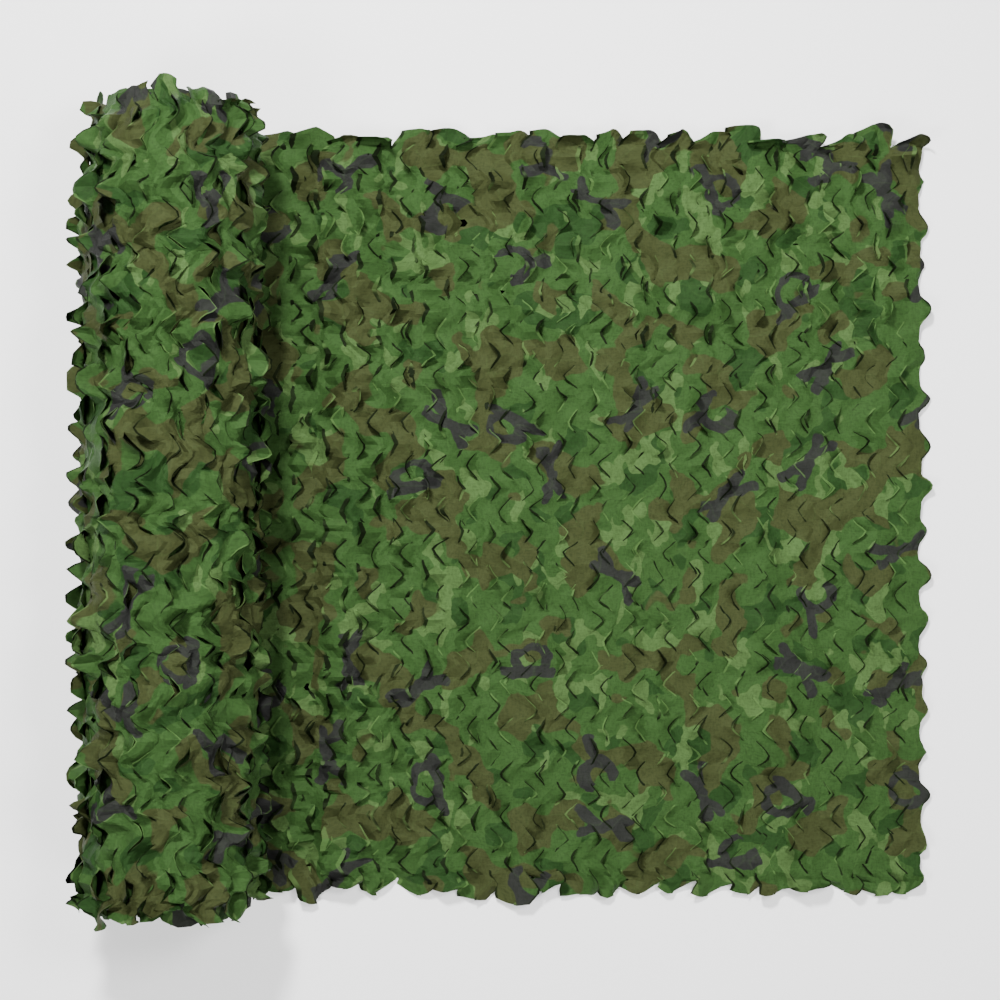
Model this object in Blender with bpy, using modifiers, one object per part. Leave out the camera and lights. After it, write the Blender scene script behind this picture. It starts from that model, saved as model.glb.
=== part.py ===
"""Camouflage net: one length of slit camouflage cloth, partly unrolled on a flat surface.

The loose end lies flat and its other end is wound into a soft roll. Wavy cut lines run across
the cloth. Each line is cut in short wave crests with uncut bridges between them, and every crest
lifts as a rounded tongue, which gives the net its leaves.

Metres, +Z up. The surface is at Z = 0, X runs along the cloth from the roll to the loose end, and
Y runs across it.
"""

import math
import random

import bmesh
import bpy

# The cloth
NET_WIDTH = 1.50  # selvage to selvage
CLOTH_THICKNESS = 0.003
CUT_LINE_GAP = 0.0325  # between neighbouring cut lines
CUT_PITCH = 0.0865  # one wave of a cut line
CUT_DEPTH = 0.031  # crest to trough of a cut line
PITCH_FACTOR = 2  # the solids carry the cuts at twice their true pitch
ROWS_PER_WAVE = 6
SLIT_SHARE = 2 / 3  # of each wave that is cut, the rest is bridge

# Cut lines as the solids carry them
LINE_GAP = PITCH_FACTOR * CUT_LINE_GAP
WAVE_PITCH = PITCH_FACTOR * CUT_PITCH
WAVE_DEPTH = PITCH_FACTOR * CUT_DEPTH
ROWS = round(ROWS_PER_WAVE * NET_WIDTH / WAVE_PITCH)
FIRST_PHASE = 1 / 6  # of the wave, at the near selvage

# The roll, wound clockwise seen from the near end
ROLL_X = -0.639  # its middle
ROLL_RADIUS = 0.172
TURN_PITCH = 0.0198  # one turn's thickness, loosely wound
ROLL_SQUASH = 0.97  # height against width
ROLL_SAG = 0.975  # how far the weight lets the middle down, which makes the flat spot
ROLL_STRIPS = 15  # between cut lines, round the outer turn
COLUMNS_PER_STRIP = 2
COLUMNS = ROLL_STRIPS * COLUMNS_PER_STRIP
ROLL_TURNS = 7
ROLL_Y = 0.010  # the winding crept away from the loose end's middle line
GIRTH = ((0.0, 1.0), (0.12, 0.99), (0.35, 1.0), (0.62, 0.985), (0.88, 0.99), (1.0, 0.93))  # along the roll
END_GROOVE = 0.014  # depth of the gaps between turns at the ends
END_FLAG = 0.011  # how far the cloth between cut lines stands out at the ends
INNER_FLAG_SHARE = 0.35
CORE_DEPTH = 0.03
END_RAGGEDNESS = 0.006
LIP_LENGTH = 0.06  # of the outer turn that runs out under the roll

# The loose end
SHEET_Y = -0.010  # its middle line
LOOSE_EDGE_X = 0.823  # tips of its scallops
SEAM_GAP = 0.0003
SHEET_START_X = ROLL_X + LIP_LENGTH + SEAM_GAP
SHEET_STRIPS = int((LOOSE_EDGE_X - SHEET_START_X) / LINE_GAP)
CLEAR_OF_ROLL_X = ROLL_X + ROLL_RADIUS + 0.01  # tongues rise only beyond this

# Tongues
SLIT_OPENING = 0.008
SHEET_LIFT = (0.008, 0.026)  # least and most rise of a tongue's tip
ROLL_LIFT = (0.009, 0.020)
SELVAGE_FLAG = (-0.004, 0.010)  # how far the cloth beside a cut stands out at the selvages
ROLL_DIP = 0.003  # of the edge that faces a tongue
FLANK_LIFT = 0.55  # of the tip's rise, halfway down a tongue's flank
TONGUE_ROOT = 0.45  # of the tip's rise, halfway back to the next cut line
ROLL_LIFT_FROM = math.radians(50)  # no tongue rises nearer the surface than this
ROLL_LIFT_TO = math.radians(325)

# Soft folds that the winding left across the loose end
FOLDS = (
    {"x": -0.33, "width": 0.040, "height": 0.016, "lean": 0.02},
    {"x": -0.12, "width": 0.034, "height": 0.010, "lean": -0.03},
    {"x": 0.035, "width": 0.044, "height": 0.010, "lean": 0.02},
    {"x": 0.20, "width": 0.034, "height": 0.007, "lean": 0.03},
    {"x": 0.49, "width": 0.038, "height": 0.010, "lean": -0.02},
    {"x": 0.71, "width": 0.034, "height": 0.006, "lean": 0.03},
)
FOLD_WAVES = 1.7  # a fold's rise and fall along Y
FOLD_CONTACT = 0.001  # lower than this the cloth lies on the surface

CLOTH_GREEN = (0.09, 0.19, 0.055, 1.0)
WELD = 0.00002
SEED = 11


def clear_scene():
    for item in list(bpy.data.objects):
        bpy.data.objects.remove(item, do_unlink=True)


def make_collection(name):
    collection = bpy.data.collections.new(name)
    bpy.context.scene.collection.children.link(collection)
    return collection


def cloth_material():
    material = bpy.data.materials.new("camouflage_cloth")
    material.use_nodes = True
    shader = material.node_tree.nodes["Principled BSDF"]
    shader.inputs["Base Color"].default_value = CLOTH_GREEN
    shader.inputs["Roughness"].default_value = 0.75
    shader.inputs["Metallic"].default_value = 0.0
    return material


def add_object(name, mesh_source, collection, material):
    mesh = bpy.data.meshes.new(name)
    mesh_source.to_mesh(mesh)
    mesh_source.free()
    mesh.materials.append(material)
    item = bpy.data.objects.new(name, mesh)
    collection.objects.link(item)
    return item


def phase_at(row):
    return row / ROWS_PER_WAVE + FIRST_PHASE


def wave(phase, depth):
    """Offset of a cut line from its crests, never positive."""
    return -0.5 * depth * (1 - math.cos(2 * math.pi * phase))


def distance_from(phase, centre):
    """How far a phase lies from a crest or trough, from 0 to 0.5."""
    return abs((phase - centre + 0.5) % 1 - 0.5)


def slit_centre(line):
    """Even lines are cut round their crests, odd lines round their troughs."""
    return 0.0 if line % 2 == 0 else 0.5


def is_cut(line, row):
    """Whether the stretch of a cut line from this row to the next is slit."""
    return distance_from(phase_at(row + 0.5), slit_centre(line)) < SLIT_SHARE / 2


def tongue_number(line, row):
    """Which tongue of its line a row belongs to."""
    return round(phase_at(row) - slit_centre(line))


def tongue_profile(line, row):
    """1 at a tongue's tip, 0 at the ends of its slit."""
    away = distance_from(phase_at(row), slit_centre(line)) / (SLIT_SHARE / 2)
    if away >= 1 - 1e-6:
        return 0.0
    return 1 - (1 - FLANK_LIFT) * away * 2 if away <= 0.5 else FLANK_LIFT * 2 * (1 - away)


def tongue_heights(lines, lift):
    """A rise for each tongue, uneven as the real net's are."""
    chance = random.Random(SEED)
    low, high = lift
    numbers = range(-1, ROWS // ROWS_PER_WAVE + 2)
    return {(line, number): chance.uniform(low, high) for line in lines for number in numbers}


def flag_lengths(lines):
    """How far each side of each cut stands out at each selvage."""
    chance = random.Random(SEED + 1)
    low, high = SELVAGE_FLAG
    keys = [(line, side, end) for line in lines for side in (-1, 0, 1) for end in (-1, 1)]
    return {key: chance.uniform(low, high) for key in keys}


def side_of(vertex):
    """-1 or 1 where a cut leaves all of a vertex's faces on its low or high X side, else 0."""
    offsets = [face.calc_center_median().x - vertex.co.x for face in vertex.link_faces]
    if all(offset < 0 for offset in offsets):
        return -1
    if all(offset > 0 for offset in offsets):
        return 1
    return 0


def unit_grid(columns, rows, cut_test, fine_column=None):
    """A flat grid with the edges that pass the test split, as (bmesh, [(vertex, column, row, side)]).

    The fine column has a point halfway between rows too.
    """
    bm = bmesh.new()
    bmesh.ops.create_grid(bm, x_segments=columns, y_segments=rows, size=1)
    for vertex in bm.verts:
        vertex.co.x = round((vertex.co.x + 1) * columns / 2)
        vertex.co.y = round((vertex.co.y + 1) * rows / 2)
    fine_edges = [edge for edge in bm.edges if all(v.co.x == fine_column for v in edge.verts)]
    bmesh.ops.subdivide_edges(bm, edges=fine_edges, cuts=1)
    cut_edges = []
    for edge in bm.edges:
        low, high = sorted(edge.verts, key=lambda vertex: vertex.co.y)
        upright = low.co.x == high.co.x and high.co.y - low.co.y == 1
        if upright and cut_test(round(low.co.x), round(low.co.y)):
            cut_edges.append(edge)
    bmesh.ops.split_edges(bm, edges=cut_edges)
    points = [(vertex, vertex.co.x, vertex.co.y) for vertex in bm.verts]
    places = [(vertex, round(x), round(2 * y) / 2, side_of(vertex)) for vertex, x, y in points]
    return bm, places


# The loose end


def fold_height(x, y):
    """How far the folds hold the cloth off the surface."""
    height = 0.0
    for number, fold in enumerate(FOLDS):
        across = (x - fold["x"] - fold["lean"] * y) / fold["width"]
        along = 0.65 + 0.35 * math.sin(2 * math.pi * FOLD_WAVES * y / NET_WIDTH + number)
        height += fold["height"] * along * math.exp(-across * across)
    return max(0.0, height - FOLD_CONTACT)


def scallop_x(row):
    """The loose edge is a whole cut line at its true pitch."""
    return LOOSE_EDGE_X + wave(PITCH_FACTOR * phase_at(row), CUT_DEPTH)


def sheet_place(line, row, side, heights, flags):
    """Where a grid point of the loose end goes. Line 0 is the loose edge."""
    y = SHEET_Y + NET_WIDTH * (row / ROWS - 0.5)
    if row in (0, ROWS):
        end = 1 if row else -1
        y += end * flags[line, side, end]
    if line == 0:
        x = scallop_x(row)
        return x, y, fold_height(x, y)
    if line == SHEET_STRIPS:
        return SHEET_START_X, y, 0.0
    x = LOOSE_EDGE_X - line * LINE_GAP + wave(phase_at(row), WAVE_DEPTH)
    z = fold_height(x, y)
    if side:
        profile = tongue_profile(line, row) or FLANK_LIFT
        x += 0.5 * SLIT_OPENING * side * profile
        points_right = line % 2 == 0
        if (side == -1) == points_right:
            z += heights[line, tongue_number(line, row)] * tongue_profile(line, row)
    return x, y, z


def sheet_is_cut(line, row):
    inside = 0 < line < SHEET_STRIPS and LOOSE_EDGE_X - line * LINE_GAP - WAVE_DEPTH > CLEAR_OF_ROLL_X
    return inside and is_cut(line, row)


def add_sheet(collection, material):
    def grid_is_cut(column, row):
        return sheet_is_cut(SHEET_STRIPS - column, row)

    bm, places = unit_grid(SHEET_STRIPS, ROWS, grid_is_cut, fine_column=SHEET_STRIPS)
    heights = tongue_heights(range(SHEET_STRIPS + 1), SHEET_LIFT)
    flags = flag_lengths(range(SHEET_STRIPS + 1))
    for vertex, column, row, side in places:
        line = SHEET_STRIPS - column
        inner_side = 0 if line in (0, SHEET_STRIPS) else side
        vertex.co = sheet_place(line, row, inner_side, heights, flags)
    sheet = add_object("net_sheet", bm, collection, material)
    thickness = sheet.modifiers.new("cloth", "SOLIDIFY")
    thickness.thickness = CLOTH_THICKNESS
    thickness.offset = 1
    return sheet


# The roll. A column counts round the outer turn and a ring counts half turns inwards.


def girth(share):
    """The roll's size at this share of its length, against its widest."""
    for (low, low_size), (high, high_size) in zip(GIRTH, GIRTH[1:]):
        if share <= high:
            return low_size + (high_size - low_size) * (share - low) / (high - low)
    return GIRTH[-1][1]


def calm(column):
    """0 beside the surface, where the cut lines run straight and nothing stands out, 1 elsewhere."""
    from_surface = min(column, COLUMNS - column) - COLUMNS_PER_STRIP
    return min(1.0, max(0.0, from_surface / COLUMNS_PER_STRIP))


def angle_at(column, row):
    """From the bottom, up the far X side, following the wave of the cut lines."""
    shift = wave(phase_at(row), WAVE_DEPTH) / (2 * math.pi * ROLL_RADIUS)
    return 2 * math.pi * (column / COLUMNS - calm(column) * shift)


def roll_place(column, row, ring=0, rise=0.0):
    """A point of the winding, before the ends are shaped."""
    angle = angle_at(column, row)
    turn = ring / 2 + angle / (2 * math.pi)
    size = girth(row / ROWS)
    radius = ROLL_RADIUS - TURN_PITCH * turn + rise
    x = ROLL_X - size * radius * math.sin(angle)
    z = size * ROLL_SQUASH * (ROLL_SAG * ROLL_RADIUS - radius * math.cos(angle))
    near = end_y(-1, column, ring)
    far = end_y(1, column, ring)
    return x, near + (far - near) * row / ROWS, max(0.0, z)


def end_y(end, column, ring):
    """Where the winding stops at the near (-1) or far (1) selvage."""
    angle = 2 * math.pi * column / COLUMNS
    turn = ring / 2 + column / COLUMNS
    ragged = math.sin(3 * angle + 2.1 * turn + end) + 0.6 * math.sin(5 * angle + end)
    flag = END_FLAG * calm(column) * (1 if column % COLUMNS_PER_STRIP else -1)
    flag *= INNER_FLAG_SHARE if ring else 1
    groove = END_GROOVE if ring % 2 else 0.0
    return ROLL_Y + end * (0.5 * NET_WIDTH + 0.5 * END_RAGGEDNESS * ragged + flag - groove)


def roll_is_cut(column, row):
    """Whether the outer turn is slit here: only whole slits, clear of the surface and the ends."""
    line, between = divmod(column, COLUMNS_PER_STRIP)
    if between or not is_cut(line, row):
        return False
    number = round(phase_at(row + 0.5) - slit_centre(line))
    tip_row = round(ROWS_PER_WAVE * (number + slit_centre(line) - FIRST_PHASE))
    half = round(SLIT_SHARE * ROWS_PER_WAVE / 2)
    angles = [angle_at(column, tip_row + step) for step in range(-half, half + 1)]
    clear_of_surface = min(angles) > ROLL_LIFT_FROM and max(angles) < ROLL_LIFT_TO
    return clear_of_surface and tip_row - half > 0 and tip_row + half < ROWS


def roll_rise(column, row, side, heights):
    """How far a point stands out of the outer turn: tongues up, the edges facing them down."""
    line, between = divmod(column, COLUMNS_PER_STRIP)
    if side:
        points_back = line % 2 == 0
        lifted = (side == 1) == points_back
        height = heights[line, tongue_number(line, row)] if lifted else -ROLL_DIP
        return height * tongue_profile(line, row)
    if not between:
        return 0.0
    root = 0.0
    for neighbour, points_back in ((line, True), (line + 1, False)):
        if (neighbour % 2 == 0) == points_back and roll_is_cut(neighbour * COLUMNS_PER_STRIP, row):
            tip = heights[neighbour, tongue_number(neighbour, row)]
            root = max(root, TONGUE_ROOT * tip * tongue_profile(neighbour, row))
    return root


def close_slits(bm, skin):
    """Joins each raised tongue's edge to the edge that it faces, which no single tool does."""
    for column in range(0, COLUMNS + 1, COLUMNS_PER_STRIP):
        for row in range(ROWS):
            if not roll_is_cut(column, row):
                continue
            ring = []
            for place in ((row, -1), (row + 1, -1), (row + 1, 1), (row, 1)):
                vertex = skin[column, place[0], place[1]]
                if vertex not in ring:
                    ring.append(vertex)
            bm.faces.new(ring)


def add_end(bm, end):
    """A wound end: a spiral of turns with grooves between them, and a hollow at the core."""
    row = ROWS if end == 1 else 0
    rings = 2 * ROLL_TURNS
    made = bmesh.ops.create_grid(bm, x_segments=COLUMNS, y_segments=rings + 1, size=1)
    core_z = girth(row / ROWS) * ROLL_SQUASH * ROLL_SAG * ROLL_RADIUS
    core = (ROLL_X, end_y(end, 0, rings) - end * CORE_DEPTH, core_z)
    for vertex in made["verts"]:
        column = round((vertex.co.x + 1) * COLUMNS / 2)
        ring = round((vertex.co.y + 1) * (rings + 1) / 2)
        vertex.co = roll_place(column, row, ring) if ring <= rings else core


def extrude_chain(bm, chain, places):
    """Extrudes a chain of points, ordered by Y, to the places given. Returns the new chain."""
    edges = [bm.edges.get(pair) for pair in zip(chain, chain[1:])]
    made = bmesh.ops.extrude_edge_only(bm, edges=edges)
    new_points = [item for item in made["geom"] if isinstance(item, bmesh.types.BMVert)]
    new_chain = sorted(new_points, key=lambda vertex: vertex.co.y)
    for vertex, place in zip(new_chain, places):
        vertex.co = place
    return new_chain


def add_lip(bm, skin):
    """The outer turn runs out under the roll to meet the loose end, and comes back to the nip."""
    first = [skin[0, row, -1] for row in range(ROWS + 1)]
    last = [skin[COLUMNS, row, -1] for row in range(ROWS + 1)]
    lip_x = ROLL_X + LIP_LENGTH
    foot = extrude_chain(bm, first, [(lip_x, vertex.co.y, 0.0) for vertex in first])
    top = extrude_chain(bm, foot, [(lip_x, vertex.co.y, CLOTH_THICKNESS) for vertex in first])
    nip = extrude_chain(bm, top, [roll_place(0, row, ring=1) for row in range(ROWS + 1)])
    extrude_chain(bm, nip, [vertex.co.copy() for vertex in last])


def add_roll(collection, material):
    bm, places = unit_grid(COLUMNS, ROWS, roll_is_cut)
    heights = tongue_heights(range(ROLL_STRIPS + 2), ROLL_LIFT)
    skin = {}
    for vertex, column, row, side in places:
        row = round(row)
        inner_side = 0 if column in (0, COLUMNS) else side
        vertex.co = roll_place(column, row, rise=roll_rise(column, row, inner_side, heights))
        for key_side in (inner_side,) if inner_side else (-1, 1):
            skin[column, row, key_side] = vertex
    close_slits(bm, skin)
    add_lip(bm, skin)
    add_end(bm, -1)
    add_end(bm, 1)
    bmesh.ops.remove_doubles(bm, verts=bm.verts[:], dist=WELD)
    bmesh.ops.holes_fill(bm, edges=bm.edges[:], sides=4)
    bmesh.ops.triangulate(bm, faces=bm.faces[:])
    bmesh.ops.recalc_face_normals(bm, faces=bm.faces[:])
    return add_object("net_roll", bm, collection, material)


def main():
    clear_scene()
    collection = make_collection("camouflage_net")
    material = cloth_material()
    add_sheet(collection, material)
    add_roll(collection, material)


main()
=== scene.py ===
import math

import bpy
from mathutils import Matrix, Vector


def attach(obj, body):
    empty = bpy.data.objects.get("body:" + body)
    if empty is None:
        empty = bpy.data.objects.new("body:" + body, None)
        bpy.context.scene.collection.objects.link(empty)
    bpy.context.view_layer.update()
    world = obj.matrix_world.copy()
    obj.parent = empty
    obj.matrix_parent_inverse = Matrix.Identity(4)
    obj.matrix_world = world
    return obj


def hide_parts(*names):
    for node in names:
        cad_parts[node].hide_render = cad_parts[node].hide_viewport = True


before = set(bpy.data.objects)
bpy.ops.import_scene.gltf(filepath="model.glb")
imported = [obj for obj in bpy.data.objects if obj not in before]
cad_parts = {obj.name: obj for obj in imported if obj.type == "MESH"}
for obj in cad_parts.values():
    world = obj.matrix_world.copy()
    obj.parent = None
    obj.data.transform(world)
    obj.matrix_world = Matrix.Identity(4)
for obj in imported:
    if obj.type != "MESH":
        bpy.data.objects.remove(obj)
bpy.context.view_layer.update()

cut = {  # how the cloth is die-cut, the same over the whole net
    "lineGap": 0.0325,  # between wavy cut lines
    "wavePitch": 0.0865,
    "waveDepth": 0.033,
    "legs": 0.94,  # 0 is a plain sine, 1 a sharp zigzag
    "slitShare": 2 / 3,  # of each wave that is cut, the rest is bridge
    "rowsPerWave": 12,
    "rows": 208,
    "firstPhase": -0.25,  # of the wave, at the near selvage
}
netWidth = cut["rows"] / cut["rowsPerWave"] * cut["wavePitch"]

placing = {  # the same places as the solids'
    "looseEdgeX": 0.823,
    "sheetY": -0.010,
    "rollX": -0.639,
    "rollY": 0.010,
    "rollRadius": 0.170,
    "turnPitch": 0.0198,
    "squash": 0.97,
    "sag": 0.975,
}
nipLine = 45  # the cut line that lies right under the roll's middle


# a node socket that adds up like a number
class Field:
    def __init__(self, tree, socket):
        self.tree = tree
        self.socket = socket

    def __add__(self, other):
        return calc("ADD", self, other)

    __radd__ = __add__

    def __sub__(self, other):
        return calc("SUBTRACT", self, other)

    def __rsub__(self, other):
        return calc("SUBTRACT", other, self)

    def __mul__(self, other):
        return calc("MULTIPLY", self, other)

    __rmul__ = __mul__

    def __truediv__(self, other):
        return calc("DIVIDE", self, other)


def plug(tree, value, socket):
    if isinstance(value, Field):
        tree.links.new(value.socket, socket)
    elif isinstance(value, bpy.types.NodeSocket):
        tree.links.new(value, socket)
    else:
        socket.default_value = value


def calc(operation, *values):
    tree = next(value.tree for value in values if isinstance(value, Field))
    node = tree.nodes.new("ShaderNodeMath")
    node.operation = operation
    for place, value in enumerate(values):
        plug(tree, value, node.inputs[place])
    return Field(tree, node.outputs[0])


def clamped(value, low=0.0, high=1.0):
    return calc("MINIMUM", calc("MAXIMUM", value, low), high)


def rounded(value):
    return calc("FLOOR", value + 0.5)


def ramp(value, low, high):  # 0 at low, 1 at high, eased
    t = clamped((value - low) / (high - low))
    return t * t * (3.0 - 2.0 * t)


def pick(choice, whenOne, whenZero):  # choice is 0 or 1
    return whenZero + choice * (whenOne - whenZero)


def wave(phase):  # 0 at the crests, 1 at the troughs, with straight legs and round tips
    swing = calc("ARCSINE", calc("COSINE", phase * (2 * math.pi)) * cut["legs"])
    return 0.5 - swing * (0.5 / math.asin(cut["legs"]))


def addNode(tree, kind, settings=None, **plugs):
    node = tree.nodes.new(kind)
    for name, value in (settings or {}).items():
        setattr(node, name, value)
    for name, value in plugs.items():
        plug(tree, value, node.inputs[name.replace("_", " ")])
    return node


def joinXyz(tree, x, y, z):
    node = tree.nodes.new("ShaderNodeCombineXYZ")
    for place, value in enumerate((x, y, z)):
        plug(tree, value, node.inputs[place])
    return Field(tree, node.outputs[0])


def splitXyz(tree, vector):
    node = addNode(tree, "ShaderNodeSeparateXYZ", Vector=vector)
    return [Field(tree, output) for output in node.outputs]


def noise(tree, x, y, size, layer=0.0, detail=1.0):  # size in metres, result about 0 to 1
    node = addNode(tree, "ShaderNodeTexNoise", {"noise_dimensions": "3D"})
    plug(tree, joinXyz(tree, x, y, layer), node.inputs["Vector"])
    node.inputs["Scale"].default_value = 1 / size
    node.inputs["Detail"].default_value = detail
    return Field(tree, node.outputs[0])


def chance(tree, number, low, high, seed, salt):  # always the same draw for the same number
    node = addNode(tree, "FunctionNodeRandomValue", {"data_type": "FLOAT"})
    node.inputs[2].default_value = low
    node.inputs[3].default_value = high
    plug(tree, number, node.inputs["ID"])
    plug(tree, seed + salt, node.inputs["Seed"])
    return Field(tree, node.outputs[1])


def storeValue(tree, kind, domain, mesh, label, value):
    node = addNode(tree, "GeometryNodeStoreNamedAttribute", {"data_type": kind, "domain": domain},
                   Geometry=mesh, Name=label, Value=value)
    return node.outputs[0]


# the slit cloth: a grid, cut along wavy lines, its tongues lifted, then laid out or wound up

clothInputs = {
    "Strips": ("NodeSocketInt", 45),
    "First Line": ("NodeSocketInt", 0),
    "Columns per Strip": ("NodeSocketInt", 4),
    "Rows": ("NodeSocketInt", cut["rows"]),
    "Line Gap": ("NodeSocketFloat", cut["lineGap"]),
    "Width": ("NodeSocketFloat", netWidth),
    "Wave Pitch": ("NodeSocketFloat", cut["wavePitch"]),
    "Wave Depth": ("NodeSocketFloat", cut["waveDepth"]),
    "Slit Share": ("NodeSocketFloat", cut["slitShare"]),
    "Thickness": ("NodeSocketFloat", 0.0007),
    "Least Bend": ("NodeSocketFloat", 0.08),
    "Most Bend": ("NodeSocketFloat", 1.25),
    "Tuck": ("NodeSocketFloat", 0.016),
    "Raised Share": ("NodeSocketFloat", 0.62),
    "Tongue Reach": ("NodeSocketFloat", 0.20),
    "Tongue Lean": ("NodeSocketFloat", 0.10),
    "Least Opening": ("NodeSocketFloat", -0.007),
    "Most Opening": ("NodeSocketFloat", -0.0025),
    "Base Height": ("NodeSocketFloat", 0.006),
    "Ruffle": ("NodeSocketFloat", 0.014),
    "Sway": ("NodeSocketFloat", 0.028),
    "Ribbon Play": ("NodeSocketFloat", 0.010),
    "Ribbon Slip": ("NodeSocketFloat", 0.4),
    "Ribbon Twist": ("NodeSocketFloat", 0.55),
    "Ribbon Fold": ("NodeSocketFloat", 0.004),
    "Edge Lift": ("NodeSocketFloat", 1.0),
    "Slit Shadow Line": ("NodeSocketFloat", 1.0),
    "Flag Zone": ("NodeSocketFloat", 0.034),
    "Flag Bend": ("NodeSocketFloat", 1.3),
    "Flag Stretch": ("NodeSocketFloat", 0.75),
    "Most Height": ("NodeSocketFloat", 0.040),
    "Seed": ("NodeSocketInt", 3),
}


def startTree(name):
    tree = bpy.data.node_groups.new(name, "GeometryNodeTree")
    tree.interface.new_socket("Geometry", in_out="INPUT", socket_type="NodeSocketGeometry")
    for label, (kind, value) in clothInputs.items():
        socket = tree.interface.new_socket(label, in_out="INPUT", socket_type=kind)
        socket.default_value = value
    tree.interface.new_socket("Geometry", in_out="OUTPUT", socket_type="NodeSocketGeometry")
    source = tree.nodes.new("NodeGroupInput")
    return tree, {label: Field(tree, source.outputs[label]) for label in clothInputs}


# a flat grid with its slits split open, x towards the loose edge and y across the cloth
def cutGrid(tree, g):
    length = g["Strips"] * g["Line Gap"]
    columns = g["Strips"] * g["Columns per Strip"]
    grid = addNode(tree, "GeometryNodeMeshGrid", Size_X=length, Size_Y=g["Width"],
                   Vertices_X=columns + 1.0, Vertices_Y=g["Rows"] + 1.0)
    x, y, _ = splitXyz(tree, Field(tree, tree.nodes.new("GeometryNodeInputPosition").outputs[0]))
    along = g["First Line"] * g["Line Gap"] + length / 2 - x
    keep = tree.nodes.new("GeometryNodeCaptureAttribute")
    keep.domain = "FACE"
    keep.capture_items.new("FLOAT", "alongFace")
    plug(tree, grid.outputs["Mesh"], keep.inputs["Geometry"])
    plug(tree, along, keep.inputs["alongFace"])
    ends = tree.nodes.new("GeometryNodeInputMeshEdgeVertices")
    x1, y1, _ = splitXyz(tree, Field(tree, ends.outputs["Position 1"]))
    x2, y2, _ = splitXyz(tree, Field(tree, ends.outputs["Position 2"]))
    upright = calc("LESS_THAN", calc("ABSOLUTE", x1 - x2), 0.0001)
    line = g["First Line"] + (length / 2 - x1) / g["Line Gap"]
    onLine = calc("LESS_THAN", calc("ABSOLUTE", line - rounded(line)), 0.01)
    phase = ((y1 + y2) / 2 + g["Width"] / 2) / g["Wave Pitch"] + cut["firstPhase"]
    centre = 0.5 * calc("FLOORED_MODULO", rounded(line), 2.0)
    away = calc("ABSOLUTE", calc("WRAP", phase - centre, 0.5, -0.5))
    isSlit = upright * onLine * calc("LESS_THAN", away, g["Slit Share"] / 2)
    split = addNode(tree, "GeometryNodeSplitEdges",
                    Mesh=keep.outputs["Geometry"], Selection=isSlit)
    hereLine = along / g["Line Gap"]
    herePhase = (y + g["Width"] / 2) / g["Wave Pitch"] + cut["firstPhase"]
    hereCentre = 0.5 * calc("FLOORED_MODULO", rounded(hereLine), 2.0)
    hereAway = calc("ABSOLUTE", calc("WRAP", herePhase - hereCentre, 0.5, -0.5))
    # 1 at a slit, fading to the next points: where the material paints its shadow line along the
    #                                         cuts
    kerf = calc("LESS_THAN", calc("ABSOLUTE", hereLine - rounded(hereLine)), 0.01)
    kerf = kerf * clamped((g["Slit Share"] / 2 - hereAway) * 12.0 + 0.3) * g["Slit Shadow Line"]
    marked = storeValue(tree, "FLOAT", "POINT", split.outputs["Mesh"], "cutEdge", kerf)
    return marked, along, y + g["Width"] / 2, Field(tree, keep.outputs["alongFace"])


leaves = {  # how tongues and the ribbons between them stand, the same over the whole net
    "mostLife": 2.8,  # a calm spot has 1
    "selvageLife": 0.9,  # added at the selvages
    "selvageZone": (0.03, 0.13),
    "scallop": (0.45, 1.0),  # how far the loose edge curves in between its tips
    "lying": -0.6,  # share of the bend where a tongue lies under its neighbour
    "flankBend": 1.15,  # on the roll's outer flank
    "flankCalm": 0.8,  # the ribbons there move this much less
    "twist": 1.6,
    "bendRange": (-1.0, 1.5),
    "softRoot": 0.004,
    "edgeLift": (0.001, 0.004),
    "edgeDrop": -0.0015,
    "closing": 0.003,
    "mostTurn": 1.1,  # radians
}
flags = {  # the cloth between two slits, out at the selvage
    "bend": (-0.55, 1.0),
    "curl": 0.9,
    "curlBend": 0.25,
    "leastReach": 0.92,
    "curlReach": 0.28,
    "rounding": (0.05, 0.55),
    "lean": 0.35,
    "taper": (0.2, 0.8),
}
salts = {  # one for each kind of draw
    "raised": 1.0,
    "bend": 2.0,
    "twist": 3.0,
    "lean": 4.0,
    "edgeLift": 5.0,
    "opening": 6.0,
    "flagBend": 7.0,
    "flagLean": 9.0,
    "flagReach": 10.0,
    "scallop": 11.0,
    "flagCurl": 12.0,
    "flagTaper": 13.0,
    "flagRounding": 14.0,
    "turn": 21.0,
    "fold": 22.0,
    "fineTurn": 23.0,
    "fineFold": 24.0,
}


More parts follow.
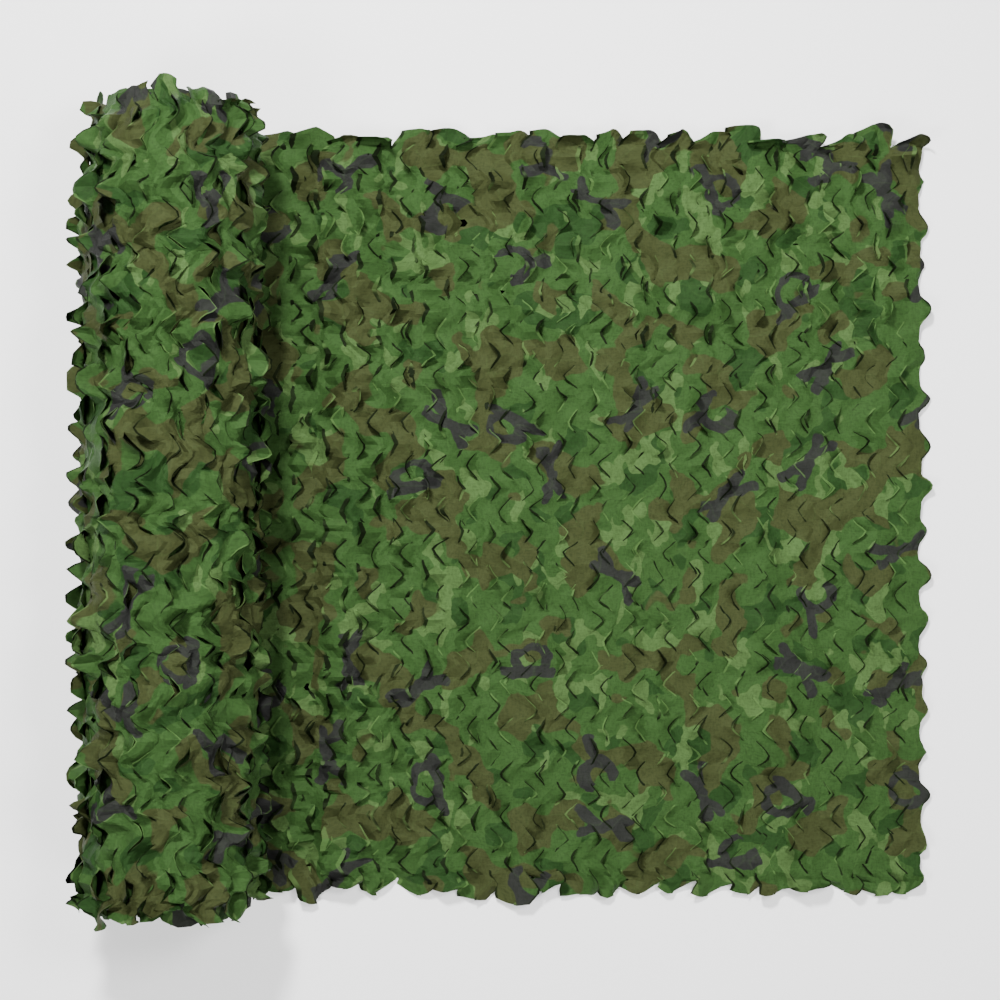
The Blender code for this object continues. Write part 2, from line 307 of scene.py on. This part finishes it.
# every second strip carries the tongues of both its lines, the strips between only part from them
def flutter(tree, g, along, across, alongFace, calm, lively=1.0, stand=0.0):
    def drawn(number, kind, low=0.0, high=1.0):
        return chance(tree, number, low, high, g["Seed"], salts[kind])

    strip = calc("FLOOR", alongFace / g["Line Gap"] + 0.0001)
    plain = calc("FLOORED_MODULO", strip, 2.0)
    leafy = 1.0 - plain
    phase = across / g["Wave Pitch"] + cut["firstPhase"]
    flat = along + g["Wave Depth"] * wave(phase)
    atLooseEdge = calc("LESS_THAN", along, 0.001)
    valley = 0.6 * g["Wave Depth"]
    scallop = drawn(rounded(phase) + 500.0, "scallop", *leaves["scallop"])
    inside = calc("MAXIMUM", valley - g["Wave Depth"] * wave(phase), 0.0) / valley
    edgeFlat = valley * (1.0 - scallop * inside * (1.6 - 0.6 * inside))
    flat = pick(atLooseEdge, edgeFlat, flat)
    tipDepth = g["Wave Depth"] * wave(0.5 * g["Slit Share"])
    lowRoot = strip * g["Line Gap"] + tipDepth
    highRoot = (strip + 1.0) * g["Line Gap"] + g["Wave Depth"] - tipDepth
    low = calc("MAXIMUM", lowRoot - flat, 0.0) * leafy
    high = calc("MAXIMUM", flat - highRoot, 0.0) * leafy
    fromRoot = low + high
    isHigh = calc("GREATER_THAN", high, 0.0)
    aim = isHigh * 2.0 - 1.0

    # slits, facets and flags are numbered from starts far apart, so their draws differ
    lowCentre = rounded(phase - 0.5 * plain)
    highCentre = rounded(phase - 0.5 * leafy)
    lowSlit = strip * 64.0 + lowCentre + 100.0
    highSlit = (strip + 1.0) * 64.0 + highCentre + 100.0
    slit = pick(isHigh, highSlit, lowSlit)
    swing = phase - pick(isHigh, highCentre + 0.5, lowCentre)

    fromEdge = calc("MINIMUM", across, g["Width"] - across)
    atSelvage = 1.0 - ramp(fromEdge, *leaves["selvageZone"])
    lively = calc("MINIMUM", lively + leaves["selvageLife"] * atSelvage, leaves["mostLife"])
    up = calc("LESS_THAN", drawn(slit, "raised"), g["Raised Share"])
    draw = drawn(slit, "bend")
    bend = g["Least Bend"] + (g["Most Bend"] - g["Least Bend"]) * draw * draw * draw
    bend = bend * calm * pick(up, 1.0, leaves["lying"]) * (0.6 + 0.4 * lively)
    bend = bend + (leaves["flankBend"] - bend) * stand
    twist = drawn(slit, "twist", -leaves["twist"], leaves["twist"])
    bend = clamped(bend * (1.0 + twist * swing), *leaves["bendRange"])
    bend = bend * fromRoot / (fromRoot + leaves["softRoot"])
    reach = fromRoot * (1.0 + g["Tongue Reach"] * fromRoot / tipDepth) / calc("COSINE", bend * 0.7)
    tongueShift = aim * (reach * calc("COSINE", bend) - fromRoot)
    tongueRise = reach * calc("SINE", bend)
    tongueLean = fromRoot * calm * drawn(slit, "lean", -1.0) * g["Tongue Lean"]

    def bow(middle):  # 1 at the middle of a slit, 0 at its ends
        away = (phase - middle) / (g["Slit Share"] / 2)
        return calc("MAXIMUM", 1.0 - away * away, 0.0)

    def parting(slitNumber, middle, edgeOffset, side):  # the plain strip's edge beside a slit
        fade = calc("MAXIMUM", 1.0 - edgeOffset / (0.6 * g["Line Gap"]), 0.0)
        hold = bow(middle) * fade * fade * plain
        over = calc("LESS_THAN", drawn(slitNumber, "raised"), g["Raised Share"])
        raised = drawn(slitNumber, "edgeLift", *leaves["edgeLift"])
        lift = pick(over, leaves["edgeDrop"], raised) * lively * g["Edge Lift"]
        draw = drawn(slitNumber, "opening")
        gap = (g["Least Opening"] + (g["Most Opening"] - g["Least Opening"]) * draw) * lively
        lifted = drawn(slitNumber, "bend")
        gap = gap - over * lifted * lifted * lifted * g["Tuck"]
        gap = gap - leaves["closing"] * (lively - 1.0)
        return hold * lift * calm, hold * gap * side

    lowEdge = along - strip * g["Line Gap"]
    highEdge = (strip + 1.0) * g["Line Gap"] - along
    lowMiddle = pick(plain, lowCentre + 0.5, lowCentre)
    highMiddle = pick(plain, highCentre, highCentre + 0.5)
    lowLift, lowGap = parting(lowSlit, lowMiddle, lowEdge, 1.0)
    highLift, highGap = parting(highSlit, highMiddle, highEdge, -1.0)

    acrossStrip = clamped(lowEdge / g["Line Gap"])
    free = (1.0 - acrossStrip) * bow(lowMiddle) + acrossStrip * bow(highMiddle)
    free = free * lively * calm

    def kinked(kind, perWave):  # straight facets along the ribbon, a fold between each two
        knot = calc("FLOOR", phase * perWave + 0.0001)
        facet = strip * 256.0 + knot + 3000.0
        start = drawn(facet, kind, -1.0)
        stop = drawn(facet + 1.0, kind, -1.0)
        return start + (stop - start) * (phase * perWave - knot)

    turn = (kinked("turn", 2.0) + 0.6 * kinked("fineTurn", 4.0)) * free * g["Ribbon Twist"]
    turn = turn * (1.0 - leaves["flankCalm"] * stand)
    turn = clamped(turn, -leaves["mostTurn"], leaves["mostTurn"])
    fromSpine = (acrossStrip - 0.5) * g["Line Gap"]
    twistUp = fromSpine * calc("SINE", turn)
    twistIn = fromSpine * (calc("COSINE", turn) - 1.0) * 0.3
    loosened = free * g["Ribbon Play"] * (1.0 - leaves["flankCalm"] * stand)

    def play(size, layer, middle=0.5):  # a layer for each strip, so that neighbours differ
        return (noise(tree, flat, across, size, layer=layer) - middle) * loosened

    playAlong = play(0.050, strip * 0.83) * g["Ribbon Slip"]
    playAcross = play(0.060, strip * 0.71 + 40.0) * g["Ribbon Slip"]
    playUp = play(0.045, strip * 0.77 + 80.0, 0.45)
    kinks = kinked("fold", 2.0) + 0.8 * kinked("fineFold", 4.0)
    playUp = playUp + kinks * free * g["Ribbon Fold"]

    far = calc("GREATER_THAN", across, g["Width"] / 2)
    inFlag = calc("MAXIMUM", 1.0 - fromEdge / g["Flag Zone"], 0.0)
    pair = calc("FLOOR", (strip + 0.0001) / 2.0) * 2.0  # a flag is two strips wide
    flag = pair + far + 9000.0
    draw = drawn(flag, "flagBend", *flags["bend"])
    flagMiddle = (pair + 1.0) * g["Line Gap"]
    fromMiddle = (along - flagMiddle) / g["Line Gap"]
    curl = drawn(flag, "flagCurl", -flags["curl"], flags["curl"]) * fromMiddle
    flagBend = (draw * draw * draw + flags["curlBend"] * curl) * g["Flag Bend"] * inFlag
    flagLength = g["Flag Zone"] * inFlag
    longer = drawn(flag, "flagReach")
    rounding = drawn(flag, "flagRounding", *flags["rounding"]) * fromMiddle * fromMiddle
    stretch = flags["leastReach"] + g["Flag Stretch"] * longer * longer * longer
    stretch = stretch + flags["curlReach"] * curl - rounding
    flagRise = flagLength * calc("SINE", flagBend)
    flagShift = (far * 2.0 - 1.0) * flagLength * (stretch * calc("COSINE", flagBend) - 1.0)
    flagLean = drawn(flag, "flagLean", -flags["lean"], flags["lean"]) * flagLength
    taper = drawn(flag, "flagTaper", *flags["taper"])
    flagLean = flagLean - taper * taper * inFlag * (along - flagMiddle)

    def sway(size, layer):  # the cloth pulled this way and that in its own plane
        broad = noise(tree, flat, across, size, layer=layer)
        fine = noise(tree, flat, across, 0.04, layer=layer + 1.0)
        return (broad + 0.4 * fine - 0.7) * g["Sway"] * calm

    outAlong = flat + tongueShift + lowGap + highGap + sway(0.10, 1.3)
    outAlong = outAlong + flagLean + playAlong + twistIn
    outAcross = across + flagShift + tongueLean + sway(0.12, 4.1) + playAcross
    rise = tongueRise + lowLift + highLift + flagRise + playUp + twistUp
    return flat, outAlong, outAcross, rise


crumples = {"broad": 0.14, "fine": 0.045, "crease": 0.070}  # their sizes


# crumples as height over the flat cloth
def crumple(tree, g, flat, across):
    broad = 1.5 * noise(tree, flat, across, crumples["broad"], layer=7.7) - 0.67
    fine = noise(tree, flat, across, crumples["fine"], layer=2.2, detail=0.0) - 0.5
    crease = noise(tree, flat, across, crumples["crease"], layer=5.5) - 0.5
    crease = calc("ABSOLUTE", crease)
    return g["Ruffle"] * (broad + fine * 1.3 - crease * 2.2 + 0.2)


# gives the cloth its thickness and stores where each point lay on the flat cloth
def finishCloth(tree, g, mesh, position, along, across, length):
    place = storeValue(tree, "FLOAT_VECTOR", "POINT", mesh, "clothPlace",
                       joinXyz(tree, along, across, 0.0))
    moved = addNode(tree, "GeometryNodeSetPosition", Geometry=place, Position=position)
    thick = addNode(tree, "GeometryNodeExtrudeMesh", Mesh=moved.outputs[0], Individual=False)
    plug(tree, g["Thickness"] * -1.0, thick.inputs["Offset Scale"])
    oldPlace = addNode(tree, "GeometryNodeInputNamedAttribute", {"data_type": "FLOAT_VECTOR"},
                       Name="clothPlace")
    x, y, _ = splitXyz(tree, Field(tree, oldPlace.outputs[0]))
    reverse = addNode(tree, "GeometryNodeStoreNamedAttribute",
                      {"data_type": "FLOAT_VECTOR", "domain": "POINT"},
                      Geometry=thick.outputs["Mesh"], Selection=thick.outputs["Top"],
                      Name="clothPlace", Value=joinXyz(tree, x, y, 1.0))
    flipped = addNode(tree, "GeometryNodeFlipFaces", Mesh=reverse.outputs[0])
    joined = tree.nodes.new("GeometryNodeJoinGeometry")
    tree.links.new(flipped.outputs[0], joined.inputs[0])
    tree.links.new(moved.outputs[0], joined.inputs[0])
    welded = addNode(tree, "GeometryNodeMergeByDistance",
                     Geometry=joined.outputs[0], Distance=0.00001)
    x, y, depth = splitXyz(tree, Field(tree, oldPlace.outputs[0]))
    # the map for baking has the cloth's two sides one above the other
    start = g["First Line"] * g["Line Gap"]
    mapX = (x - start + 0.0005 * depth) / (length + g["Wave Depth"] + 0.002)
    mapY = (y / (g["Width"] + 0.002) + depth * 1.0005) / 2.002
    unfolded = storeValue(tree, "FLOAT2", "CORNER", welded.outputs[0], "OFBake",
                          joinXyz(tree, mapX, mapY, 0.0))
    smooth = addNode(tree, "GeometryNodeSetShadeSmooth", Geometry=unfolded)
    bent = Field(tree, tree.nodes.new("GeometryNodeInputMeshEdgeAngle").outputs[0])
    isFold = calc("GREATER_THAN", bent, math.radians(17))
    crisp = addNode(tree, "GeometryNodeSetShadeSmooth", {"domain": "EDGE"},
                    Geometry=smooth.outputs[0], Selection=isFold, Shade_Smooth=False)
    realized = addNode(tree, "GeometryNodeRealizeInstances", Geometry=crisp.outputs[0])
    dressed = addNode(tree, "GeometryNodeSetMaterial",
                      Geometry=realized.outputs[0], Material=clothFinish)
    out = tree.nodes.new("NodeGroupOutput")
    tree.links.new(dressed.outputs[0], out.inputs[0])


loose = {  # the laid-out length
    "Strips": nipLine,
    "Base Height": 0.010,
    "Ruffle": 0.016,
}
looseLife = {  # where the laid cloth is ruffled up
    "nearRollZone": (-0.40, 0.10),  # x, fades out over it
    "nearRoll": 1.5,
    "farHalfZone": (0.78, 1.28),  # from the near selvage, fades in over it
    "farHalf": 1.0,
    "crumple": 0.5,
    "crumpleNearRoll": 0.3,
}
folds = (  # left by the winding: x, width, height, lean
    (-0.33, 0.040, 0.014, 0.02),
    (-0.12, 0.034, 0.009, -0.03),
    (0.035, 0.044, 0.009, 0.02),
    (0.20, 0.034, 0.006, 0.03),
    (0.49, 0.038, 0.009, -0.02),
    (0.71, 0.034, 0.005, 0.03),
)
creases = (  # sharp valleys: x, width, depth, lean
    (-0.385, 0.016, 0.008, 0.01),
    (-0.245, 0.014, 0.007, -0.012),
    (-0.09, 0.014, 0.007, 0.015),
    (0.13, 0.012, 0.004, -0.01),
    (0.40, 0.014, 0.005, 0.012),
    (0.60, 0.012, 0.004, -0.015),
)


def buildLooseTree():
    tree, g = startTree("looseNet")
    mesh, along, across, alongFace = cutGrid(tree, g)
    flatX = placing["looseEdgeX"] - along - g["Wave Depth"] * 0.5
    rollEdge = placing["rollX"] + placing["rollRadius"]
    free = ramp(flatX, placing["rollX"] + 0.07, rollEdge + 0.03)  # 0 where the roll rests on it
    nearRoll = 1.0 - ramp(flatX, *looseLife["nearRollZone"])
    farHalf = ramp(across, *looseLife["farHalfZone"])
    lively = 1.0 + looseLife["nearRoll"] * nearRoll + looseLife["farHalf"] * farHalf
    flat, outAlong, outAcross, rise = flutter(tree, g, along, across, alongFace, free, lively)
    x = placing["looseEdgeX"] - flat
    y = across - g["Width"] / 2
    height = g["Base Height"]
    for foldX, width, tall, lean in folds:
        offset = (x - foldX - lean * y) / width
        height = height + tall * calc("EXPONENT", offset * offset * -1.0)
    for creaseX, width, deep, lean in creases:
        offset = calc("ABSOLUTE", x - creaseX - lean * y) / width
        height = height - deep * calc("EXPONENT", offset * -1.0)
    crumpled = looseLife["crumple"] + looseLife["crumpleNearRoll"] * nearRoll
    height = height + crumple(tree, g, flat, across) * crumpled
    height = (calc("MAXIMUM", height, 0.002) + rise) * free
    z = clamped(height, g["Thickness"] + 0.0004, g["Most Height"])
    outX = placing["looseEdgeX"] - outAlong
    position = joinXyz(tree, outX, outAcross - g["Width"] / 2 + placing["sheetY"], z)
    finishCloth(tree, g, mesh, position, flat, across, g["Strips"] * g["Line Gap"])
    return tree


outerStrips = 36  # one turn and a little more
outerTurn = {
    "Strips": outerStrips,
    "First Line": nipLine,
    "Columns per Strip": 5,
    "Base Height": 0.002,
    "Most Height": 0.034,
    "Ruffle": 0.016,
    "Sway": 0.055,
    "Least Bend": 0.52,
    "Most Bend": 1.35,
    "Raised Share": 0.85,
    "Tongue Reach": 0.28,
    "Tongue Lean": 0.3,
    "Edge Lift": 3.4,
    "Least Opening": -0.005,
    "Most Opening": 0.003,
    "Tuck": 0.003,
    "Ribbon Play": 0.016,
    "Ribbon Slip": 0.6,
    "Ribbon Twist": 2.3,
    "Ribbon Fold": 0.011,
    "Flag Stretch": 0.9,
    "Slit Shadow Line": 0.94,
    "Seed": 8,
}
innerTurns = {
    "Strips": 106,
    "First Line": nipLine + outerStrips,
    "Columns per Strip": 2,
    "Rows": cut["rows"] // 2,
    "Base Height": 0.008,
    "Most Height": 0.022,
    "Ruffle": 0.008,
    "Least Bend": 0.1,
    "Most Bend": 0.7,
    "Raised Share": 0.9,
    "Flag Bend": 0.3,
    "Flag Stretch": 0.7,
    "Slit Shadow Line": 0.6,
    "Seed": 9,
}
rollShape = {
    "floorZone": (0.25, 0.9),  # radians from straight down: pressed flat, then free
    "flankAngle": 1.75,  # where the tongues stand out, on the side away from the laid length
    "flankSpread": 0.28,
    "innerRaise": 0.009,  # brings the second turn up behind them
    "deepest": -0.006,
}
rollGirth = (  # share of its length, share of its full girth
    (0.0, 1.0),
    (0.12, 0.99),
    (0.35, 1.0),
    (0.62, 0.985),
    (0.88, 0.985),
    (0.95, 0.95),
    (1.0, 0.86),
)


def girthAt(tree, share):
    curve = tree.nodes.new("ShaderNodeFloatCurve")
    points = curve.mapping.curves[0].points
    while len(points) < len(rollGirth):
        points.new(0.5, 1.0)
    for point, (where, size) in zip(points, rollGirth):
        point.location = (where, size)
    curve.mapping.update()
    plug(tree, share, curve.inputs["Value"])
    return Field(tree, curve.outputs[0])


def buildRollTree():
    tree, g = startTree("woundNet")
    mesh, along, across, alongFace = cutGrid(tree, g)
    radius = placing["rollRadius"]
    perTurn = placing["turnPitch"]

    def spiral(distance):  # radius and angle of the winding at this distance along the cloth
        past = distance - nipLine * cut["lineGap"]
        wound = radius * radius - past * (perTurn / math.pi)
        here = calc("SQRT", clamped(wound, 0.0001, 1.0))
        return here, (radius - here) * (2 * math.pi / perTurn)

    _, early = spiral(along)
    turned = calc("MINIMUM", early, 2 * math.pi)
    fromFloor = calc("MINIMUM", turned, 2 * math.pi - turned)
    isInner = calc("GREATER_THAN", early, 2 * math.pi)
    free = pick(isInner, 1.0, ramp(fromFloor, *rollShape["floorZone"]))
    side = calc("FLOORED_MODULO", early, 2 * math.pi) - rollShape["flankAngle"]
    side = side / rollShape["flankSpread"]
    stand = calc("EXPONENT", side * side * -1.0)
    flat, outAlong, outAcross, rise = flutter(tree, g, along, across, alongFace, free, 1.0, stand)
    rise = rise + crumple(tree, g, flat, across) * free + g["Base Height"]
    rise = rise + rollShape["innerRaise"] * stand * isInner
    rise = clamped(rise, rollShape["deepest"], g["Most Height"])
    here, angle = spiral(outAlong)
    size = girthAt(tree, across / g["Width"])
    out = here + rise
    x = placing["rollX"] - size * out * calc("SINE", angle)
    z = size * placing["squash"] * (placing["sag"] * radius - out * calc("COSINE", angle))
    z = calc("MAXIMUM", z, 2.0 * g["Thickness"])
    position = joinXyz(tree, x, outAcross - g["Width"] / 2 + placing["rollY"], z)
    finishCloth(tree, g, mesh, position, flat, across, g["Strips"] * g["Line Gap"])
    return tree


# the printed cloth

inks = {
    "green": (0.0214, 0.0506, 0.0131, 1),
    "deepGreen": (0.0116, 0.0318, 0.0082, 1),
    "lightGreen": (0.0435, 0.0820, 0.0250, 1),
    "brown": (0.0284, 0.0340, 0.0120, 1),
    "charcoal": (0.0152, 0.0149, 0.0151, 1),
    "wornAndHighlit": (0.0700, 0.1350, 0.0390, 1),  # pale along the coating's creases and at pale cut rims: partly wear, partly painted highlight
    "gap": (0.0022, 0.0036, 0.0014, 1),  # painted shade between the threads and painted shadow along the cuts
}


def mixInk(tree, share, base, ink):
    node = addNode(tree, "ShaderNodeMix", {"data_type": "RGBA"})
    plug(tree, share, node.inputs["Factor"])
    plug(tree, base, node.inputs[6])  # inputs 6 and 7 and output 2 are the colour ones
    plug(tree, ink, node.inputs[7])
    return node.outputs[2]


# ink, size, squeeze along and across, the noise where it starts, painted light beside the roll
# (its shift), layer
patches = (
    ("deepGreen", 0.085, 1.0, 1.0, 0.585, -0.06, 21.0),
    ("lightGreen", 0.063, 1.4, 0.8, 0.612, 0.02, 11.0),
    ("brown", 0.100, 1.1, 1.0, 0.545, 0.0, 37.0),
)
patchEdge = {"ragged": 0.024, "blur": 0.005}
paintedLightAndShadeBesideRoll = {"fadeIn": (0.80, 1.25), "fadeOut": (1.45, 1.47)}  # where light and wider shadow lines are painted beside the roll, metres from the loose edge
weave = {
    "pitch": 0.0012,
    "slub": 0.0030,  # uneven yarn
    "relief": 0.00008,
    "shade": 0.10,  # share of dark all over; the threads add painted shade between them, the slubs uneven yarn tone
    "threadShade": 0.14,
    "slubShade": 0.7,
}
coating = {  # creased; pale along the creases, partly rubbed wear and partly painted highlight
    "facet": 0.050,
    "facetRelief": -0.011,
    "crinkle": 0.022,
    "crinkleRelief": -0.0035,
    "paleCreaseWidth": 0.022,
    "paleCreaseShare": 0.10,
    "leastRough": 0.48,
    "roughPlay": 0.2,
}
cutLook = {  # the cut edges: a painted shadow line along them, and in places pale rims, partly frayed and partly painted highlight
    "inside": 0.78,  # where the line begins, 1 at the cut and 0 at the next points
    "patchy": 0.20,
    "nearRoll": 0.16,
    "blur": 0.03,
    "paleRimShare": 0.42,
    "slitShadowShare": 0.80,
}


def makeCloth():
    material = bpy.data.materials.new("printedCloth")
    material.use_nodes = True
    tree = material.node_tree
    shader = tree.nodes["Principled BSDF"]
    place = addNode(tree, "ShaderNodeAttribute", {"attribute_name": "clothPlace"})
    x, y, _ = splitXyz(tree, place.outputs["Vector"])
    warpX = x + (noise(tree, x, y, 0.030, layer=3.0) - 0.5) * patchEdge["ragged"]
    warpY = y + (noise(tree, x, y, 0.030, layer=9.0) - 0.5) * patchEdge["ragged"]
    # beside the roll the print is painted lighter and the slit shadow lines wider
    nearRoll = ramp(x, *paintedLightAndShadeBesideRoll["fadeIn"]) * (1.0 - ramp(x, *paintedLightAndShadeBesideRoll["fadeOut"]))
    color = inks["green"]
    for ink, size, stretchX, stretchY, start, paintedLightBesideRoll, layer in patches:
        field = noise(tree, warpX * stretchX, warpY * stretchY, size, layer=layer)
        # painted light: beside the roll fewer deep and more light patches
        field = field + paintedLightBesideRoll * nearRoll
        share = ramp(field, start - patchEdge["blur"], start + patchEdge["blur"])
        color = mixInk(tree, share, color, inks[ink])
    color = mixInk(tree, branchPrint(tree, warpX, warpY), color, inks["charcoal"])

    facet = noise(tree, x, y, coating["facet"], layer=51.0, detail=0.0)
    facet = calc("ABSOLUTE", facet - 0.5)
    crinkle = noise(tree, x, y, coating["crinkle"], layer=53.0, detail=3.0)
    crinkle = calc("ABSOLUTE", crinkle - 0.5)
    # pale along the creases: partly rubbed wear, partly painted highlight
    wornAndHighlit = 1.0 - ramp(facet, 0.0, coating["paleCreaseWidth"])
    wornAndHighlit = wornAndHighlit * noise(tree, x, y, 0.05, layer=71.0)
    color = mixInk(tree, wornAndHighlit * coating["paleCreaseShare"], color, inks["wornAndHighlit"])
    warp = calc("SINE", x * (2 * math.pi / weave["pitch"]))
    weft = calc("SINE", y * (2 * math.pi / weave["pitch"]))
    slub = noise(tree, x * 0.35, y, weave["slub"], layer=81.0)
    slub = slub + noise(tree, x, y * 0.35, weave["slub"], layer=85.0)
    # painted shade between the threads, with the slubs' uneven yarn tone
    shade = weave["shade"] + weave["threadShade"] * (warp * weft)
    shade = clamped(shade + weave["slubShade"] * (slub - 1.0))
    color = mixInk(tree, shade, color, inks["gap"])
    # a painted shadow line along the slits, wider in patchy places and beside the roll
    kerf = addNode(tree, "ShaderNodeAttribute", {"attribute_name": "cutEdge"})
    patchy = ramp(noise(tree, x, y, 0.045, layer=91.0), 0.25, 0.65)
    inner = cutLook["inside"] - cutLook["patchy"] * patchy - cutLook["nearRoll"] * nearRoll
    line = ramp(Field(tree, kerf.outputs["Fac"]), inner, inner + cutLook["blur"])
    # pale rims along the cuts in places: partly fraying, partly painted highlight
    paleRim = ramp(noise(tree, x, y, 0.060, layer=95.0), 0.52, 0.62)
    color = mixInk(tree, line * cutLook["paleRimShare"] * paleRim, color, inks["wornAndHighlit"])
    slitShadowStrength = cutLook["slitShadowShare"] + (1.0 - cutLook["slitShadowShare"]) * patchy
    color = mixInk(tree, line * slitShadowStrength * (1.0 - paleRim), color, inks["gap"])
    tree.links.new(color, shader.inputs["Base Color"])

    rough = noise(tree, x, y, 0.02, layer=41.0, detail=3.0)
    rough = coating["leastRough"] + coating["roughPlay"] * rough
    tree.links.new(rough.socket, shader.inputs["Roughness"])
    shader.inputs["Specular IOR Level"].default_value = 0.09
    shader.inputs["Specular Tint"].default_value = (0.55, 0.80, 0.40, 1)

    relief = facet * coating["facetRelief"] + crinkle * coating["crinkleRelief"]
    relief = relief + warp * weft * weave["relief"]
    bump = addNode(tree, "ShaderNodeBump", Height=relief)
    bump.inputs["Strength"].default_value = 0.7
    bump.inputs["Distance"].default_value = 1.0
    tree.links.new(bump.outputs[0], shader.inputs["Normal"])
    return material


branches = {
    "spacing": 0.185,
    "share": 0.75,  # of the cells that get a figure
    "halfWidth": 0.0100,
    "arm": 0.046,
    "ringRadius": 0.026,
    "hookRadius": 0.030,
    "hookedBelow": 0.36,  # of the draw from 0 to 1 that picks the figure
    "ringedAbove": 0.74,
}


# forked charcoal strokes, one figure to a cell and each turned its own way
def branchPrint(tree, x, y):
    cells = addNode(tree, "ShaderNodeTexVoronoi", {"voronoi_dimensions": "2D"},
                    Vector=joinXyz(tree, x, y, 0.0))
    cells.inputs["Scale"].default_value = 1 / branches["spacing"]
    cells.inputs["Randomness"].default_value = 0.75
    middleX, middleY, _ = splitXyz(tree, cells.outputs["Position"])
    draw, turn, kind = splitXyz(tree, cells.outputs["Color"])
    angle = turn * 6.283  # radians, one full turn
    dx, dy = x - middleX, y - middleY
    u = dx * calc("COSINE", angle) + dy * calc("SINE", angle)
    v = dy * calc("COSINE", angle) - dx * calc("SINE", angle)

    def stroke(fromU, fromV, toU, toV):  # distance from one straight stroke
        spanU, spanV = toU - fromU, toV - fromV
        size = spanU * spanU + spanV * spanV
        share = clamped(((u - fromU) * spanU + (v - fromV) * spanV) / size)
        offU = u - fromU - share * spanU
        offV = v - fromV - share * spanV
        return calc("SQRT", offU * offU + offV * offV)

    arm = branches["arm"]
    main = stroke(-arm, -0.004, arm, 0.006)
    fork = stroke(0.004, 0.0, 0.034, 0.042)
    spur = stroke(-0.016, 0.0, -0.040, -0.036)
    ringU, ringV = u - 0.012, v + 0.020
    ring = calc("SQRT", ringU * ringU * 0.7 + ringV * ringV) - branches["ringRadius"]
    ring = calc("ABSOLUTE", ring)
    hookU, hookV = u + 0.006, v - 0.028
    hook = calc("SQRT", hookU * hookU + hookV * hookV) - branches["hookRadius"]
    hook = calc("ABSOLUTE", hook) + calc("MAXIMUM", hookU + hookV - 0.018, 0.0)
    forked = calc("MINIMUM", main, calc("MINIMUM", fork, spur))
    ringed = calc("MINIMUM", main, ring + 0.003)
    hooked = calc("MINIMUM", hook, spur)
    far = pick(calc("GREATER_THAN", kind, branches["ringedAbove"]), ringed, forked)
    far = pick(calc("LESS_THAN", kind, branches["hookedBelow"]), hooked, far)
    width = branches["halfWidth"] * (0.75 + 0.6 * noise(tree, x, y, 0.03, layer=61.0))
    shown = calc("LESS_THAN", draw, branches["share"])
    return (1.0 - ramp(far, width - 0.0008, width + 0.0008)) * shown


# pieces

def growPiece(name, tree, values, held, restsOn, *nodes):
    piece = bpy.data.objects.new(name, bpy.data.meshes.new(name))
    bpy.context.scene.collection.objects.link(piece)
    grower = piece.modifiers.new("cloth", "NODES")
    grower.node_group = tree
    inputs = [item for item in tree.interface.items_tree if item.in_out == "INPUT"]
    sockets = {item.name: item.identifier for item in inputs}
    for label, value in values.items():
        grower[sockets[label]] = value
    evaluated = piece.evaluated_get(bpy.context.evaluated_depsgraph_get())
    mesh = bpy.data.meshes.new_from_object(evaluated)
    piece.modifiers.remove(grower)
    piece.data = mesh
    mesh.name = name
    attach(piece, "root")
    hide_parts(*nodes)
    print(name, len(mesh.polygons), "faces")


clothFinish = makeCloth()
print("printed cloth ready")
looseTree = buildLooseTree()
rollTree = buildRollTree()
print("node trees ready")
growPiece("looseNet", looseTree, loose, "laid", [], "net_sheet")
growPiece("outerTurn", rollTree, outerTurn, "folded", ["looseNet"], "net_roll")
growPiece("innerTurns", rollTree, innerTurns, "folded", ["looseNet"], "net_roll")

# floor, light and camera

studio = {
    "floorHalf": 9,
    "floorColor": (0.9, 0.9, 0.9, 1),
    "floorRoughness": 0.9,
    "worldColor": (1, 1, 1, 1),
    "worldStrength": 0.415,
    "lightsAim": (0, 0, 0.1),
    "cameraPlace": (-0.024, 0.016, 3.40),  # straight above the net
    "cameraAngle": 32.4,  # degrees
}
floorMaterial = bpy.data.materials.new("floor")
floorMaterial.use_nodes = True
floorShader = floorMaterial.node_tree.nodes["Principled BSDF"]
floorShader.inputs["Base Color"].default_value = studio["floorColor"]
floorShader.inputs["Roughness"].default_value = studio["floorRoughness"]
half = studio["floorHalf"]
floorMesh = bpy.data.meshes.new("floor")
floorMesh.from_pydata([(-half, -half, 0), (half, -half, 0), (half, half, 0), (-half, half, 0)],
                      [], [(0, 1, 2, 3)])
floorMesh.materials.append(floorMaterial)
floor = bpy.data.objects.new("floor", floorMesh)
bpy.context.scene.collection.objects.link(floor)

softLights = (  # where, size, watts
    ((-0.9, 2.75, 3.45), 0.65, 462),
    ((1.0, 0.6, 2.9), 0.75, 70),
    ((1.7, -1.9, 2.6), 1.4, 54),
    ((-2.2, -1.3, 3.0), 1.4, 98),
)


def addSoftLight(where, size, watts):
    lamp = bpy.data.lights.new("softLight", "AREA")
    lamp.shape = "DISK"
    lamp.size = size
    lamp.energy = watts
    item = bpy.data.objects.new("softLight", lamp)
    item.location = where
    item.rotation_mode = "QUATERNION"
    aim = Vector(studio["lightsAim"]) - Vector(where)
    item.rotation_quaternion = aim.to_track_quat("-Z", "Y")
    bpy.context.scene.collection.objects.link(item)


for where, size, watts in softLights:
    addSoftLight(where, size, watts)
world = bpy.data.worlds.new("studio")
world.use_nodes = True
background = world.node_tree.nodes["Background"]
background.inputs["Color"].default_value = studio["worldColor"]
background.inputs["Strength"].default_value = studio["worldStrength"]
bpy.context.scene.world = world

cameraData = bpy.data.cameras.new("camera")
cameraData.angle = math.radians(studio["cameraAngle"])
camera = bpy.data.objects.new("camera", cameraData)
camera.location = studio["cameraPlace"]
bpy.context.scene.collection.objects.link(camera)
bpy.context.scene.camera = camera
print("floor, lights and camera ready")
